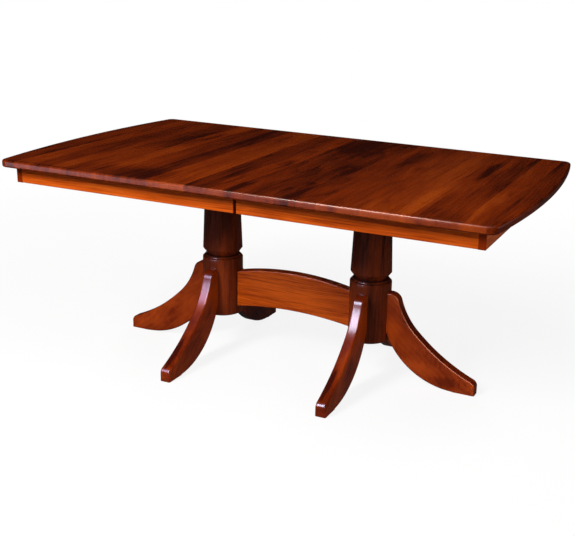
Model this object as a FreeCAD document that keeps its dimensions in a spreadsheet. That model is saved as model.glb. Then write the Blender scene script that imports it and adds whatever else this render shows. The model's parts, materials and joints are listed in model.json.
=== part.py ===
import FreeCAD, Part
import math
import os
import re

import Sketcher

# Double-pedestal extension dining table, in millimetres.
# X runs along the table, Y towards its rear, Z up. The origin is on the floor, under the centre.
# The top is split at X = 0: both halves slide apart by the same travel on two sets of geared slides.

doc = FreeCAD.newDocument("DiningTable")

# Driving dimensions. Names that end in share are fractions of the size that they follow.
SIZES = {
    # Overall and top
    "table_length": 1828.8,
    "table_width": 1066.8,
    "table_height": 762.0,
    "top_thick": 25.4,
    "end_bow": 41.0,
    "corner_round": 30.0,
    "top_edge_round": 8.0,
    "bottom_edge_round": 6.0,
    "seam_gap": 0.3,
    "slide_travel": 304.8,
    # Aprons
    "apron_height": 57.0,
    "apron_thick": 24.0,
    "apron_inset_front": 43.0,
    "apron_inset_end": 34.0,
    "apron_split_offset": 25.0,
    "apron_split_gap": 11.0,
    "apron_edge_round": 3.0,
    "corner_block_leg": 72.0,
    "corner_block_clip": 14.0,
    "corner_block_height": 40.0,
    # Turned columns
    "column_spacing": 609.6,
    "column_bottom": 143.0,
    "drum_radius": 76.0,
    "drum_top": 358.0,
    "drum_foot_round": 6.0,
    "drum_head_height": 7.8,
    "drum_head_in": 2.5,
    "drum_head_curve": 13.0,
    "bead_radius": 70.8,
    "bead_height": 12.7,
    "bead_curve": 10.0,
    "groove_radius": 64.5,
    "lip_radius": 70.5,
    "lip_height": 5.0,
    "shoulder_radius": 74.6,
    "shoulder_drop": 12.5,
    "shoulder_curve": 14.0,
    "neck_radius": 64.0,
    "well_radius": 45.0,
    "well_top": 340.0,
    # Legs, measured from the column's axis
    "leg_thick": 40.0,
    "leg_reach": 415.0,
    "leg_head_height": 330.5,
    "leg_root_height": 186.0,
    "leg_edge_round": 6.0,
    "leg_under_curve": 289.0,
    "sole_length": 99.0,
    "sole_height": 1.0,
    "toe_height": 28.0,
    "toe_curve": 24.0,
    "toe_top_in": 15.0,
    "toe_top_height": 51.0,
    "shin_curve": 669.0,
    "knee_reach": 194.0,
    "knee_height": 185.4,
    "thigh_curve": 255.0,
    "brow_reach": 118.5,
    "brow_height": 303.0,
    "head_curve": 38.0,
    "head_flat_reach": 82.0,
    # Stretcher
    "stretcher_thick": 38.0,
    "stretcher_top": 341.0,
    "stretcher_top_end": 314.0,
    "stretcher_bottom": 195.0,
    "stretcher_bottom_end": 175.0,
    "stretcher_edge_round": 4.0,
    "joint_lap": 6.0,
    # Hanger bolts through the column wall, with their washers and nuts
    "bolt_radius": 4.75,
    "bolt_clear": 0.25,
    "bolt_low": 214.0,
    "bolt_high": 286.0,
    "bolt_inner": 32.0,
    "bolt_outer": 110.0,
    "washer_radius": 11.0,
    "washer_thick": 2.0,
    "nut_flat": 8.5,
    "nut_thick": 8.0,
    "spotface_radius": 12.0,
    # Glides under the toes
    "glide_radius": 11.0,
    "glide_thick": 4.0,
    "glide_inset": 49.0,
    # Mounting boards on the columns
    "board_length": 150.0,
    "board_thick": 32.0,
    "board_margin": 12.0,
    "board_edge_round": 4.0,
    "lag_radius": 4.0,
    "lag_length": 82.0,
    "lag_circle": 38.0,
    "lag_head_radius": 9.0,
    "lag_head_thick": 6.0,
    # Extension slides: a fixed centre runner with a moving runner on each side of it
    "slide_height": 46.0,
    "slide_inset": 318.4,
    "slide_gap": 0.5,
    "centre_half_length": 450.0,
    "centre_half_width": 19.0,
    "centre_top_gap": 1.0,
    "runner_width": 30.0,
    "runner_underclear": 3.0,
    "runner_end_gap": 25.4,
    "runner_inner_end": 440.0,
    "runner_relief": 1.0,
    "tongue_drop": 14.6,
    "tongue_deep": 7.5,
    "tongue_root_half": 3.6,
    "tongue_tip_half": 5.6,
    "tongue_clear": 0.5,
    "stop_pin_radius": 3.0,
    "stop_pin_inset": 10.0,
    "stop_pin_length": 22.0,
    "stop_play": 0.6,
    # Rack and pinion of each slide
    "tooth_module": 2.0,
    "tooth_backlash": 0.35,
    "pinion_thick": 7.0,
    "pinion_drop": 32.6,
    "pinion_fit": 0.06,
    "window_clear": 1.0,
    "axle_radius": 4.0,
    "axle_under": 6.0,
    "axle_length": 34.0,
    "rack_thick": 8.0,
    "rack_back": 3.0,
    # Wood screws that hold the runners and the aprons to the top, driven from below
    "screw_radius": 2.4,
    "screw_clear": 0.1,
    "screw_length": 45.0,
    "screw_bite": 17.0,
    "screw_head_radius": 5.0,
    "screw_head_thick": 3.5,
    "counterbore_clear": 0.6,
    "runner_screw_first": 60.0,
    "runner_screw_end": 30.0,
    "apron_screw_end": 70.0,
    # Screws from the mounting boards up into the centre runners
    "board_screw_length": 50.0,
    "board_screw_spread": 90.0,
    "board_screw_recess": 6.0,
    # Alignment pins in the seam
    "pin_radius": 4.75,
    "pin_clear": 0.3,
    "pin_length": 30.0,
    "pin_outstand": 14.0,
    "pin_point": 1.5,
    "pin_inner_place": 64.0,
    "pin_outer_inset": 93.4,
    # Swing locks under the seam
    "lock_inset": 161.4,
    "lock_pivot_in": 38.0,
    "lock_keeper_out": 32.0,
    "lock_half_width": 11.0,
    "lock_thick": 3.0,
    "lock_gap": 0.3,
    "lock_tail": 26.0,
    "lock_nose": 15.0,
    "lock_slot_half": 4.2,
    "lock_slot_past": 3.6,
    "lock_stem_radius": 3.0,
    "lock_stem_fit": 0.08,
    "lock_stem_bite": 16.0,
    "lock_head_radius": 7.5,
    "lock_head_thick": 3.0,
}

COUNTS = {
    "runner_screws": 5,
    "apron_front_screws": 4,
    "apron_end_screws": 5,
    "pinion_teeth": 22,
    "rack_spare_teeth": 3,
    "flank_points": 5,
}

# Gear teeth: the angle of their flanks, and how far they reach below the pitch line, as a share
# of the module, which is also what they reach above it
PRESSURE_ANGLE = math.radians(20)
TOOTH_ROOT_SHARE = 1.25

# Two places closer than this are the same
SAME_PLACE = 1e-4

sheet = doc.addObject("Spreadsheet::Sheet", "Sizes")
for row, (alias, value) in enumerate(list(SIZES.items()) + list(COUNTS.items()), start=1):
    sheet.set("A%d" % row, alias.replace("_", " "))
    sheet.set("B%d" % row, str(value))
    sheet.setAlias("B%d" % row, alias)
doc.recompute()

WORDS = re.compile(r"[a-z]+(?:_[a-z]+)+")


def formula(text):
    """The text with each size's name turned into a reference to its cell."""
    return WORDS.sub(lambda word: "Sizes." + word.group(), text)


def worth(text):
    """What a formula comes to with the present cells."""
    return float(sheet.evalExpression(formula(text)))


def count(name):
    """A whole number from the sheet."""
    return round(worth(name))


# Places worked out from the driving dimensions, as formulas that the pieces share

UNDERSIDE = "(table_height - top_thick)"
HALF_WIDTH = "(table_width / 2)"
CHORD = "(table_length / 2 - end_bow)"
APRON_FACE = "(table_width / 2 - apron_inset_front)"
APRON_BACK = "(table_width / 2 - apron_inset_front - apron_thick)"
APRON_END = "(table_length / 2 - end_bow - apron_inset_end)"
APRON_END_INSIDE = "(table_length / 2 - end_bow - apron_inset_end - apron_thick)"
APRON_FOOT = "(table_height - top_thick - apron_height)"
BOARD_TOP = "(table_height - top_thick - slide_height)"
COLUMN_TOP = "(table_height - top_thick - slide_height - board_thick)"
SEAM = "(seam_gap / 2)"
SLIDE_PLACE = "(table_width / 2 - slide_inset)"
LOCK_PLACE = "(table_width / 2 - lock_inset)"
TONGUE_LEVEL = "(table_height - top_thick - tongue_drop)"
PINION_LEVEL = "(table_height - top_thick - pinion_drop)"
RUNNER_END = "(table_length / 2 - end_bow - apron_inset_end - apron_thick - runner_end_gap)"
RUNNER_BOTTOM = "(table_height - top_thick - slide_height + runner_underclear)"
RUNNER_FACE = "(centre_half_width + slide_gap)"
RUNNER_MIDDLE = "(centre_half_width + slide_gap + runner_width / 2)"
STOP_PLACE = "(centre_half_length - stop_pin_inset)"
TONGUE_END = "(centre_half_length - stop_pin_inset - stop_pin_radius - stop_play - slide_travel)"
STOP_OFFSET = "(centre_half_width - (tongue_deep + tongue_clear) / 2)"
TOOTH_PITCH = "(pi * tooth_module)"
PITCH_RADIUS = "(tooth_module * pinion_teeth / 2)"
TIP_RADIUS = "(tooth_module * (pinion_teeth / 2 + 1))"
RACK_LEAD = "(pi * tooth_module * rack_spare_teeth)"
RACK_TRAIL = "(pi * tooth_module * (rack_spare_teeth + ceil(slide_travel / (pi * tooth_module))))"
RACK_ROOT = "(tooth_module * (pinion_teeth / 2 + %g))" % TOOTH_ROOT_SHARE
SCREW_HEAD = "(table_height - top_thick + screw_bite - screw_length)"
BOARD_SCREW_HEAD = "(table_height - top_thick - slide_height - board_thick + board_screw_recess)"
PIN_HEIGHT = "(table_height - top_thick / 2)"
COLUMN_PLACE = "(column_spacing / 2)"

SIDES = (("left", -1), ("right", 1))
ENDS = (("front", -1), ("rear", 1))


# Helpers that draw sketches and grow bodies from them

bodies = []


def new_body(label, across="0", along="0", turn=0):
    """An empty body with its own label, placed and turned about the upright axis."""
    body = doc.addObject("PartDesign::Body", label)
    body.Label = label
    body.Placement.Rotation = FreeCAD.Rotation(FreeCAD.Vector(0, 0, 1), turn)
    body.setExpression("Placement.Base.x", formula(across))
    body.setExpression("Placement.Base.y", formula(along))
    bodies.append(body)
    return body


def settle(feature):
    """Recompute, and stop at a feature that did not build."""
    doc.recompute()
    if "Invalid" in feature.State or feature.Shape.isNull():
        owner = feature.getParentGeoFeatureGroup()
        raise RuntimeError("%s of %s did not build" % (feature.Label, owner.Label))
    return feature


def origin_part(body, role):
    return next(part for part in body.Origin.OriginFeatures if part.Role == role)


def new_sketch(body, plane, lift="0"):
    """A sketch on one of the body's own planes, lifted along the plane's normal."""
    sketch = body.newObject("Sketcher::SketchObject", "Sketch")
    sketch.AttachmentSupport = [(origin_part(body, plane), "")]
    sketch.MapMode = "FlatFace"
    sketch.setExpression("AttachmentOffset.Base.z", formula(lift))
    return sketch


def tie(geometry, end, place):
    """Rules that hold one point of a sketch at a place given by two formulas."""
    return [(Sketcher.Constraint(kind, -1, 1, geometry, end, worth(text)), text)
            for kind, text in zip(("DistanceX", "DistanceY"), place)]


def hold_radius(geometry, radius):
    return [(Sketcher.Constraint("Radius", geometry, worth(radius)), radius)]


def apply_rules(sketch, rules):
    """Add all rules of a sketch in one go, so that its curves stay as drawn, and bind their sizes."""
    numbers = sketch.addConstraint([rule for rule, _ in rules])
    for number, (_, text) in zip(numbers, rules):
        if text:
            sketch.setExpression("Constraints[%d]" % number, formula(text))


def draw_outline(sketch, corners):
    """A closed outline. Each corner is x and y, and where an arc ends there, also the arc's radius
    and the side that it bulges to: 1 for the left of the way it is drawn, -1 for the right."""
    spots = [FreeCAD.Vector(worth(corner[0]), worth(corner[1]), 0) for corner in corners]
    runs = []
    rules = []
    for index, corner in enumerate(corners):
        before, here = spots[index - 1], spots[index]
        if len(corner) == 2:
            runs.append((sketch.addGeometry(Part.LineSegment(before, here), False), 1, 2))
            continue
        middle = arc_middle(before, here, worth(corner[2]), corner[3])
        # A sketch counts the ends of an arc counter-clockwise, so one that bulges left runs backward
        ends = (before, here) if corner[3] < 0 else (here, before)
        arc = sketch.addGeometry(Part.Arc(ends[0], middle, ends[1]), False)
        runs.append((arc, 1, 2) if corner[3] < 0 else (arc, 2, 1))
        rules += hold_radius(arc, corner[2])
    for index, (run, first, last) in enumerate(runs):
        previous, _, end = runs[index - 1]
        rules.append((Sketcher.Constraint("Coincident", previous, end, run, first), None))
        rules += tie(run, last, corners[index][:2])
    apply_rules(sketch, rules)


def arc_middle(before, here, radius, bulge):
    """The middle of the shorter arc of a radius between two points."""
    way = here - before
    half = way.Length / 2
    rise = radius - math.sqrt(radius ** 2 - half ** 2)
    left = FreeCAD.Vector(-way.y, way.x, 0).normalize()
    return (before + here) * 0.5 + left * (bulge * rise)


def arc_radius(half, rise):
    """The formula for the radius of an arc from half its chord and its rise."""
    return "((%s ^ 2 + %s ^ 2) / (2 * %s))" % (half, rise, rise)


def draw_circles(sketch, places, radius):
    rules = []
    for place in places:
        centre = FreeCAD.Vector(worth(place[0]), worth(place[1]), 0)
        circle = Part.Circle(centre, FreeCAD.Vector(0, 0, 1), worth(radius))
        geometry = sketch.addGeometry(circle, False)
        rules += tie(geometry, 3, place) + hold_radius(geometry, radius)
    apply_rules(sketch, rules)


def grow(body, sketch, length, backward=False):
    """Pad a sketch along its normal, or against it."""
    pad = body.newObject("PartDesign::Pad", "Pad")
    pad.Profile = sketch
    pad.setExpression("Length", formula(length))
    pad.Reversed = backward
    return settle(pad)


def carve(body, sketch, depth, upward=False):
    """Pocket a sketch against its normal, or along it, and make sure that it removes material."""
    volume = body.Shape.Volume
    pocket = body.newObject("PartDesign::Pocket", "Pocket")
    pocket.Profile = sketch
    pocket.setExpression("Length", formula(depth))
    pocket.Reversed = upward
    settle(pocket)
    if not body.Shape.Volume < volume:
        raise RuntimeError("%s: a pocket removed nothing" % body.Label)
    return pocket


def bore(body, places, radius, level, depth, plane="XY_Plane", upward=True):
    """Round holes from one level of a plane."""
    sketch = new_sketch(body, plane, level)
    draw_circles(sketch, places, radius)
    return carve(body, sketch, depth, upward)


def studs(body, places, radius, level, length, plane="XY_Plane"):
    """Round pins that stand on one level of a plane."""
    sketch = new_sketch(body, plane, level)
    draw_circles(sketch, places, radius)
    return grow(body, sketch, length)


def turn_profile(body, corners):
    """Revolve an outline of radius and height about the upright axis."""
    sketch = new_sketch(body, "XZ_Plane")
    draw_outline(sketch, corners)
    turned = body.newObject("PartDesign::Revolution", "Turned")
    turned.Profile = sketch
    turned.ReferenceAxis = (sketch, ["V_Axis"])
    return settle(turned)


def repeat_around(body, features):
    """Copies of features on all four sides of the body's upright axis."""
    ring = body.newObject("PartDesign::PolarPattern", "Ring")
    ring.Originals = features
    ring.Axis = (origin_part(body, "Z_Axis"), [""])
    ring.Angle = 360
    ring.Occurrences = 4
    body.Tip = ring
    return settle(ring)


def round_edges(body, radius, wanted):
    """Fillet the edges of the body so far that the test accepts."""
    base = body.Tip
    names = ["Edge%d" % number for number, edge in enumerate(base.Shape.Edges, start=1) if wanted(edge)]
    rounding = body.newObject("PartDesign::Fillet", "Rounding")
    rounding.Base = (base, names)
    rounding.setExpression("Radius", formula(radius))
    return settle(rounding)


def close(first, second):
    return abs(first - second) < SAME_PLACE


def runs_along(edge, axis):
    """True for a straight edge along one axis of the body, 0, 1 or 2."""
    if not isinstance(edge.Curve, Part.Line):
        return False
    direction = edge.tangentAt(edge.FirstParameter)
    return close(abs(direction[axis]), 1)


def lies_at(edge, axis, level):
    """True for an edge that lies wholly at one level of an axis."""
    box = edge.BoundBox
    low, high = (box.XMin, box.YMin, box.ZMin)[axis], (box.XMax, box.YMax, box.ZMax)[axis]
    return close(low, level) and close(high, level)


def spaced(first, last, name):
    """Formulas for evenly spaced places, as many as the named count, both ends included."""
    number = count(name)
    return ["(%s + (%s - %s) * %d / %d)" % (first, last, first, step, number - 1)
            for step in range(number)]


def signed(side, text):
    """The formula on one side of the centre: the side is -1 or 1."""
    return "(%d * %s)" % (side, text)


# Places of the vertical screws that go up into the top

def runner_offset(side):
    """How far a runner's middle line lies from the table's: the left half's runners are outside."""
    return "(%s - %d * %s)" % (SLIDE_PLACE, side, RUNNER_MIDDLE)


def runner_screw_places(side):
    along = spaced("runner_screw_first", "(%s - runner_screw_end)" % RUNNER_END, "runner_screws")
    return [(signed(side, x), signed(end, runner_offset(side))) for _, end in ENDS for x in along]


def apron_inner_end(side):
    """Where the long aprons of one half stop at the split, which lies to the right of the seam."""
    return "(apron_split_offset + %d * apron_split_gap / 2)" % side


def long_apron_screw_places(side, end):
    first = "(%s + %d * apron_screw_end)" % (apron_inner_end(side), side)
    last = signed(side, "(%s - apron_screw_end)" % APRON_END_INSIDE)
    middle = "(%s - apron_thick / 2)" % APRON_FACE
    along = spaced(first, last, "apron_front_screws")
    return [(x, signed(end, middle)) for x in along]


def end_apron_screw_places(side):
    reach = "(%s - apron_screw_end)" % APRON_FACE
    across = spaced(signed(-1, reach), reach, "apron_end_screws")
    return [(signed(side, "(%s - apron_thick / 2)" % APRON_END), y) for y in across]


def apron_screw_places(side):
    long_ones = [place for _, end in ENDS for place in long_apron_screw_places(side, end)]
    return long_ones + end_apron_screw_places(side)


def lock_places(reach):
    return [(reach, signed(end, LOCK_PLACE)) for _, end in ENDS]


def pin_places():
    offsets = ("pin_inner_place", "(table_width / 2 - pin_outer_inset)")
    return [(signed(end, offset), PIN_HEIGHT) for _, end in ENDS for offset in offsets]


def screw_bores(body, places):
    """Shank holes through a piece and counterbores for the heads, from below."""
    bore(body, places, "(screw_radius + screw_clear)", "0", UNDERSIDE)
    bore(body, places, "(screw_head_radius + counterbore_clear)", "0",
         "(%s + screw_head_thick)" % SCREW_HEAD)


def wood_screws(label, places):
    """A group of round-headed wood screws, each a separate solid."""
    body = new_body(label)
    studs(body, places, "screw_radius", SCREW_HEAD, "screw_length")
    studs(body, places, "screw_head_radius", SCREW_HEAD, "screw_head_thick")


# The two halves of the top

def table_top(name, side):
    """One half: straight front and back, bowed end, rounded corners and rounded edges."""
    body = new_body("top_" + name)
    sketch = new_sketch(body, "XY_Plane", UNDERSIDE)
    draw_outline(sketch, [
        (signed(side, SEAM), signed(-side, HALF_WIDTH)),
        (signed(side, CHORD), signed(-side, HALF_WIDTH)),
        (signed(side, CHORD), signed(side, HALF_WIDTH), arc_radius(HALF_WIDTH, "end_bow"), -1),
        (signed(side, SEAM), signed(side, HALF_WIDTH)),
    ])
    grow(body, sketch, "top_thick")
    seam = side * worth(SEAM)
    round_edges(body, "corner_round", lambda edge: runs_along(edge, 2) and not lies_at(edge, 0, seam))
    for radius, level in (("top_edge_round", "table_height"), ("bottom_edge_round", UNDERSIDE)):
        height = worth(level)
        round_edges(body, radius, lambda edge: lies_at(edge, 2, height) and not lies_at(edge, 0, seam))
    bore(body, runner_screw_places(side) + apron_screw_places(side), "(screw_radius + screw_clear)",
         UNDERSIDE, "(screw_bite + screw_clear)")
    reach = "(-lock_pivot_in)" if side < 0 else "lock_keeper_out"
    bore(body, lock_places(reach), "lock_stem_radius", UNDERSIDE, "lock_stem_bite")
    loose = "(pin_radius + pin_clear)" if side < 0 else "pin_radius"
    deep = "(pin_outstand + pin_clear)" if side < 0 else "(pin_length - pin_outstand)"
    bore(body, pin_places(), loose, signed(side, SEAM), deep, "YZ_Plane", upward=side > 0)
    return body


# The aprons and the blocks in their corners

def long_apron(name, side, end_name, end):
    """A front or rear apron of one half. The left one laps under the right half beyond the seam."""
    body = new_body("apron_%s_%s" % (end_name, name))
    inner, outer = apron_inner_end(side), signed(side, APRON_END_INSIDE)
    face, back = signed(end, APRON_FACE), signed(end, APRON_BACK)
    sketch = new_sketch(body, "XY_Plane", APRON_FOOT)
    draw_outline(sketch, [(inner, face), (outer, face), (outer, back), (inner, back)])
    grow(body, sketch, "apron_height")
    front, foot = end * worth(APRON_FACE), worth(APRON_FOOT)
    round_edges(body, "apron_edge_round",
                lambda edge: runs_along(edge, 0) and lies_at(edge, 1, front) and lies_at(edge, 2, foot))
    if side < 0:
        lap = new_sketch(body, "XY_Plane", UNDERSIDE)
        draw_outline(lap, [("0", face), (inner, face), (inner, back), ("0", back)])
        carve(body, lap, "runner_relief")
    screw_bores(body, long_apron_screw_places(side, end))


def end_apron(name, side):
    """The apron across one end. It covers the ends of the long aprons."""
    body = new_body("apron_end_" + name)
    outer, inner = signed(side, APRON_END), signed(side, APRON_END_INSIDE)
    sketch = new_sketch(body, "XY_Plane", APRON_FOOT)
    draw_outline(sketch, [(outer, signed(-1, APRON_FACE)), (outer, APRON_FACE),
                          (inner, APRON_FACE), (inner, signed(-1, APRON_FACE))])
    grow(body, sketch, "apron_height")
    face, foot = side * worth(APRON_END), worth(APRON_FOOT)
    round_edges(body, "apron_edge_round",
                lambda edge: lies_at(edge, 0, face) and not lies_at(edge, 2, worth(UNDERSIDE))
                and (runs_along(edge, 2) or lies_at(edge, 2, foot)))
    screw_bores(body, end_apron_screw_places(side))


def corner_blocks(name, side):
    """Two glue blocks, each a triangle with a clipped tip, in the corners of one half."""
    body = new_body("corner_blocks_" + name)
    for _, end in ENDS:
        corner_x, corner_y = signed(side, APRON_END_INSIDE), signed(end, APRON_BACK)
        far_x = signed(side, "(%s - corner_block_leg)" % APRON_END_INSIDE)
        far_y = signed(end, "(%s - corner_block_leg)" % APRON_BACK)
        clip_x = signed(side, "(%s - corner_block_clip)" % APRON_END_INSIDE)
        clip_y = signed(end, "(%s - corner_block_clip)" % APRON_BACK)
        sketch = new_sketch(body, "XY_Plane", UNDERSIDE)
        draw_outline(sketch, [(corner_x, corner_y), (far_x, corner_y), (far_x, clip_y),
                              (clip_x, far_y), (corner_x, far_y)])
        grow(body, sketch, "corner_block_height", backward=True)


# Turned columns

def column(name, side):
    """A turned column with a well from below for the nuts, and bores for bolts and lag screws."""
    body = new_body("column_" + name, across=signed(side, COLUMN_PLACE))
    quirk = "(drum_top + drum_head_height)"
    bead_top = "(drum_top + drum_head_height + bead_height)"
    lip = "(drum_top + drum_head_height + bead_height + lip_height)"
    shoulder = "(drum_top + drum_head_height + bead_height + lip_height + shoulder_drop)"
    turn_profile(body, [
        ("0", "column_bottom"),
        ("(drum_radius - drum_foot_round)", "column_bottom"),
        ("drum_radius", "(column_bottom + drum_foot_round)", "drum_foot_round", -1),
        ("drum_radius", "drum_top"),
        ("(drum_radius - drum_head_in)", quirk, "drum_head_curve", -1),
        ("bead_radius", quirk),
        ("groove_radius", bead_top, "bead_curve", -1),
        ("lip_radius", lip),
        ("shoulder_radius", shoulder, "shoulder_curve", -1),
        ("neck_radius", COLUMN_TOP),
        ("0", COLUMN_TOP),
    ])
    bore(body, [("0", "0")], "well_radius", "column_bottom", "(well_top - column_bottom)")
    bolts = [("0", "bolt_low"), ("0", "bolt_high")]
    holes = bore(body, bolts, "(bolt_radius + bolt_clear)", "0", "drum_radius", "YZ_Plane")
    flats = bore(body, bolts, "spotface_radius", "0", "well_radius", "YZ_Plane")
    repeat_around(body, [holes, flats])
    bore(body, lag_places(), "lag_radius", COLUMN_TOP, "(lag_length - board_thick)", upward=False)


def lag_places():
    """Four places on a circle about the column's axis, on its diagonals."""
    reach = "(lag_circle * sqrt(0.5))"
    return [(signed(x, reach), signed(y, reach)) for x in (-1, 1) for y in (-1, 1)]


def lag_screws(name, side):
    """Lag screws with low round heads, from the mounting board down into the column's head."""
    body = new_body("lag_screws_" + name, across=signed(side, COLUMN_PLACE))
    studs(body, lag_places(), "lag_radius", "(%s - lag_length)" % BOARD_TOP, "lag_length")
    studs(body, lag_places(), "lag_head_radius", "(%s - lag_head_thick)" % BOARD_TOP, "lag_head_thick")


# Legs and stretcher, with the bolts that hold them

def cope(body, across="0"):
    """Shape the end of a piece to the column's drum."""
    sketch = new_sketch(body, "XY_Plane")
    draw_circles(sketch, [(across, "0")], "drum_radius")
    carve(body, sketch, COLUMN_TOP, upward=True)


def leg(label, side, turn):
    """A sabre leg: a board sawn to a double curve, standing on its toe."""
    body = new_body(label, across=signed(side, COLUMN_PLACE), turn=turn)
    root = "(drum_radius - joint_lap)"
    sketch = new_sketch(body, "XZ_Plane", "(-leg_thick / 2)")
    draw_outline(sketch, [
        (root, "leg_root_height"),
        ("(leg_reach - sole_length)", "sole_height", "leg_under_curve", -1),
        ("leg_reach", "sole_height"),
        ("leg_reach", "toe_height"),
        ("(leg_reach - toe_top_in)", "toe_top_height", "toe_curve", -1),
        ("knee_reach", "knee_height", "shin_curve", 1),
        ("brow_reach", "brow_height", "thigh_curve", 1),
        ("head_flat_reach", "leg_head_height", "head_curve", -1),
        (root, "leg_head_height"),
    ])
    grow(body, sketch, "leg_thick")
    half, start = worth("leg_thick") / 2, worth(root)
    round_edges(body, "leg_edge_round",
                lambda edge: (lies_at(edge, 1, half) or lies_at(edge, 1, -half))
                and not lies_at(edge, 0, start) and not lies_at(edge, 2, worth("sole_height")))
    cope(body)
    bore(body, [("0", "bolt_low"), ("0", "bolt_high")], "bolt_radius", "0", "bolt_outer", "YZ_Plane")
    bore(body, [("(leg_reach - glide_inset)", "0")], "glide_radius", "0", "glide_thick")


def stretcher():
    """The arched board between the columns."""
    body = new_body("stretcher")
    end = "(%s - drum_radius + joint_lap)" % COLUMN_PLACE
    sketch = new_sketch(body, "XZ_Plane", "(-stretcher_thick / 2)")
    draw_outline(sketch, [
        (signed(-1, end), "stretcher_bottom_end"),
        (end, "stretcher_bottom_end", arc_radius(end, "(stretcher_bottom - stretcher_bottom_end)"), 1),
        (end, "stretcher_top_end"),
        (signed(-1, end), "stretcher_top_end", arc_radius(end, "(stretcher_top - stretcher_top_end)"), -1),
    ])
    grow(body, sketch, "stretcher_thick")
    half = worth("stretcher_thick") / 2
    round_edges(body, "stretcher_edge_round",
                lambda edge: (lies_at(edge, 1, half) or lies_at(edge, 1, -half)) and not runs_along(edge, 2))
    bolts = [("0", "bolt_low"), ("0", "bolt_high")]
    for _, side in SIDES:
        cope(body, signed(side, COLUMN_PLACE))
        start = signed(side, "(%s - bolt_outer)" % COLUMN_PLACE)
        bore(body, bolts, "bolt_radius", start, "bolt_outer", "YZ_Plane", upward=side > 0)


def hexagon(centre, flat):
    """The corners of a hexagon from its middle and half its width across flats."""
    corner = "(%s / cos(30 deg))" % flat
    return [("(%s + %s * cos(%d deg))" % (centre[0], corner, 60 * step),
             "(%s + %s * sin(%d deg))" % (centre[1], corner, 60 * step)) for step in range(6)]


def leg_bolts(name, side):
    """Hanger bolts through the column wall, with washers and nuts in the well: two for each joint."""
    place = signed(side, COLUMN_PLACE)
    heights = [("0", "bolt_low"), ("0", "bolt_high")]
    rods = new_body("leg_bolts_" + name, across=place)
    shank = studs(rods, heights, "bolt_radius", "bolt_inner", "(bolt_outer - bolt_inner)", "YZ_Plane")
    repeat_around(rods, [shank])
    washers = new_body("leg_washers_" + name, across=place)
    sketch = new_sketch(washers, "YZ_Plane", "(well_radius - washer_thick)")
    draw_circles(sketch, heights, "washer_radius")
    draw_circles(sketch, heights, "(bolt_radius + bolt_clear)")
    repeat_around(washers, [grow(washers, sketch, "washer_thick")])
    nuts = new_body("leg_nuts_" + name, across=place)
    sketch = new_sketch(nuts, "YZ_Plane", "(well_radius - washer_thick - nut_thick)")
    for height in heights:
        draw_outline(sketch, hexagon(height, "nut_flat"))
    draw_circles(sketch, heights, "bolt_radius")
    repeat_around(nuts, [grow(nuts, sketch, "nut_thick")])


def foot_glides():
    """A round glide let into each sole, standing a little proud of it."""
    body = new_body("foot_glides")
    places = []
    reach = "(leg_reach - glide_inset)"
    for _, side in SIDES:
        places.append((signed(side, "(%s + %s)" % (COLUMN_PLACE, reach)), "0"))
        places += [(signed(side, COLUMN_PLACE), signed(end, reach)) for _, end in ENDS]
    studs(body, places, "glide_radius", "0", "glide_thick")


# Mounting boards

def board_screw_places(side):
    spread = ["(%s + %d * board_screw_spread / 2)" % (signed(side, COLUMN_PLACE), step) for step in (-1, 1)]
    return [(x, signed(end, SLIDE_PLACE)) for _, end in ENDS for x in spread]


def mounting_board(name, side):
    """The board on a column's head that carries both centre runners."""
    body = new_body("mounting_board_" + name)
    centre = signed(side, COLUMN_PLACE)
    across = ["(%s + %d * board_length / 2)" % (centre, step) for step in (-1, 1)]
    reach = "(%s + centre_half_width + board_margin)" % SLIDE_PLACE
    sketch = new_sketch(body, "XY_Plane", COLUMN_TOP)
    draw_outline(sketch, [(across[0], signed(-1, reach)), (across[1], signed(-1, reach)),
                          (across[1], reach), (across[0], reach)])
    grow(body, sketch, "board_thick")
    foot = worth(COLUMN_TOP)
    round_edges(body, "board_edge_round", lambda edge: lies_at(edge, 2, foot))
    lags = [("(%s + %s)" % (centre, x), y) for x, y in lag_places()]
    bore(body, lags, "lag_radius", COLUMN_TOP, "board_thick")
    bore(body, lags, "(lag_head_radius + counterbore_clear)", BOARD_TOP, "lag_head_thick", upward=False)
    screws = board_screw_places(side)
    bore(body, screws, "(screw_radius + screw_clear)", COLUMN_TOP, "board_thick")
    bore(body, screws, "(screw_head_radius + counterbore_clear)", COLUMN_TOP,
         "(board_screw_recess + screw_head_thick)")


def board_screws():
    """Screws from the boards up into the centre runners."""
    body = new_body("board_screws")
    places = [place for _, side in SIDES for place in board_screw_places(side)]
    studs(body, places, "screw_radius", BOARD_SCREW_HEAD, "board_screw_length")
    studs(body, places, "screw_head_radius", BOARD_SCREW_HEAD, "screw_head_thick")


# Extension slides

def dovetail(face, outward, root_half, tip_half, deep):
    """Corners of a dovetail on a runner's face: outward is the formula's sign towards the tip."""
    tip = "(%s + %d * %s)" % (face, outward, deep)
    corners = ((face, -1, root_half), (tip, -1, tip_half), (tip, 1, tip_half), (face, 1, root_half))
    return [(y, "(%s + %d * %s)" % (TONGUE_LEVEL, side, half)) for y, side, half in corners]


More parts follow.
